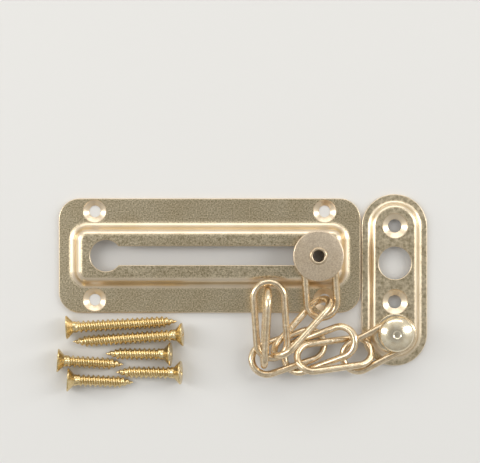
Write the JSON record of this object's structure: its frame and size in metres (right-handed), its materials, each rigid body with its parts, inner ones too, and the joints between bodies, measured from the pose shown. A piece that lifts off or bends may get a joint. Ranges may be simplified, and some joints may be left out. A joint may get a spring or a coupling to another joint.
{
  "type": "door chain guard",
  "caption": "Door chain guard: keyhole track plate, sliding disc, welded-link chain and a jamb plate with a domed stud, laid out flat with its wood screws.",
  "frame": {"origin": "centre of the track plate on its back face, which is the centre of its four screw holes", "axes": "+X along the track plate toward the jamb plate, +Y across it, +Z away from the door"},
  "size_m": [0.1063, 0.0563, 0.0139],
  "materials": {
    "pressed_plate": "satin",
    "slider_disc": "satin",
    "bright_brass": "polished",
    "chain_wire": "polished",
    "screw_brass": "polished"
  },
  "bodies": {
    "track_plate": {"track_plate": "pressed_plate"},
    "slider": {"slider_foot": "bright_brass", "slider_collar": "bright_brass", "slider_head": "slider_disc", "slider_rivet": "bright_brass"},
    "link_1": {"link_1": "chain_wire"},
    "link_2": {"link_2": "chain_wire"},
    "link_3": {"link_3": "chain_wire"},
    "link_4": {"link_4": "chain_wire"},
    "link_5": {"link_5": "chain_wire"},
    "link_6": {"link_6": "chain_wire"},
    "link_7": {"link_7": "chain_wire"},
    "link_8": {"link_8": "chain_wire"},
    "jamb_plate": {"jamb_plate": "pressed_plate", "jamb_stud": "bright_brass", "stud_washer": "bright_brass"},
    "long_screw_1": {"long_screw_1": "screw_brass"},
    "long_screw_2": {"long_screw_2": "screw_brass"},
    "short_screw_1": {"short_screw_1": "screw_brass"},
    "short_screw_2": {"short_screw_2": "screw_brass"},
    "short_screw_3": {"short_screw_3": "screw_brass"},
    "short_screw_4": {"short_screw_4": "screw_brass"}
  },
  "joints": [
    {"name": "slider_slide", "type": "slide", "parent": "track_plate", "child": "slider", "axis": [-1, 0, 0], "range_m": [0, 0.042]},
    {"name": "link_1_turn", "type": "hinge", "parent": "slider", "child": "link_1", "pos_m": [0.0308, 0, 0.0072], "axis": [0, 0, 1], "range_deg": [-0.1, 25.1]},
    {"name": "link_2_turn", "type": "hinge", "parent": "link_1", "child": "link_2", "pos_m": [0.0341, -0.0123, 0.005], "axis": [0, 0, 1], "range_deg": [-0.1, 82.7]},
    {"name": "link_3_turn", "type": "hinge", "parent": "link_2", "child": "link_3", "pos_m": [0.018, -0.0294, 0.007], "axis": [0, 0, 1], "range_deg": [-27.5, 0.1]},
    {"name": "link_4_turn", "type": "hinge", "parent": "link_3", "child": "link_4", "pos_m": [0.0151, -0.0097, 0.006], "axis": [0, 0, 1], "range_deg": [-9.2, 0.1]},
    {"name": "link_5_turn", "type": "hinge", "parent": "link_4", "child": "link_5", "pos_m": [0.0135, -0.0308, 0.005], "axis": [0, 0, 1], "range_deg": [-74.6, 0.1]},
    {"name": "link_6_turn", "type": "hinge", "parent": "link_5", "child": "link_6", "pos_m": [0.0235, -0.0322, 0.0045], "axis": [0, 0, 1], "range_deg": [-0.1, 3.5]},
    {"name": "link_7_turn", "type": "hinge", "parent": "link_6", "child": "link_7", "pos_m": [0.0291, -0.0241, 0.0045], "axis": [0, 0, 1], "range_deg": [-8, 0]},
    {"name": "link_8_turn", "type": "hinge", "parent": "link_7", "child": "link_8", "pos_m": [0.0457, -0.0305, 0.0045], "axis": [0, 0, 1], "range_deg": [-4, 0]},
    {"name": "jamb_plate_turn", "type": "hinge", "parent": "link_8", "child": "jamb_plate", "pos_m": [0.053, -0.0222, 0.005], "axis": [0, 0, 1], "range_deg": [-170, 0]},
    {"name": "long_screw_1_lift", "type": "slide", "parent": "track_plate", "child": "long_screw_1", "axis": [0, 0, 1], "range_m": [0, 0.03]},
    {"name": "long_screw_2_lift", "type": "slide", "parent": "track_plate", "child": "long_screw_2", "axis": [0, 0, 1], "range_m": [0, 0.03]},
    {"name": "short_screw_1_lift", "type": "slide", "parent": "track_plate", "child": "short_screw_1", "axis": [0, 0, 1], "range_m": [0, 0.03]},
    {"name": "short_screw_2_lift", "type": "slide", "parent": "track_plate", "child": "short_screw_2", "axis": [0, 0, 1], "range_m": [0, 0.03]},
    {"name": "short_screw_3_lift", "type": "slide", "parent": "track_plate", "child": "short_screw_3", "axis": [0, 0, 1], "range_m": [0, 0.03]},
    {"name": "short_screw_4_lift", "type": "slide", "parent": "track_plate", "child": "short_screw_4", "axis": [0, 0, 1], "range_m": [0, 0.03]}
  ],
  "couplings": [
    {"joint": "link_1_turn", "follows": "slider_slide", "rad_per_m": 10.389},
    {"joint": "link_2_turn", "follows": "slider_slide", "rad_per_m": 34.325},
    {"joint": "link_3_turn", "follows": "slider_slide", "rad_per_m": -11.386},
    {"joint": "link_4_turn", "follows": "slider_slide", "rad_per_m": -3.7816},
    {"joint": "link_5_turn", "follows": "slider_slide", "rad_per_m": -30.959},
    {"joint": "link_6_turn", "follows": "slider_slide", "rad_per_m": 1.4129}
  ]
}
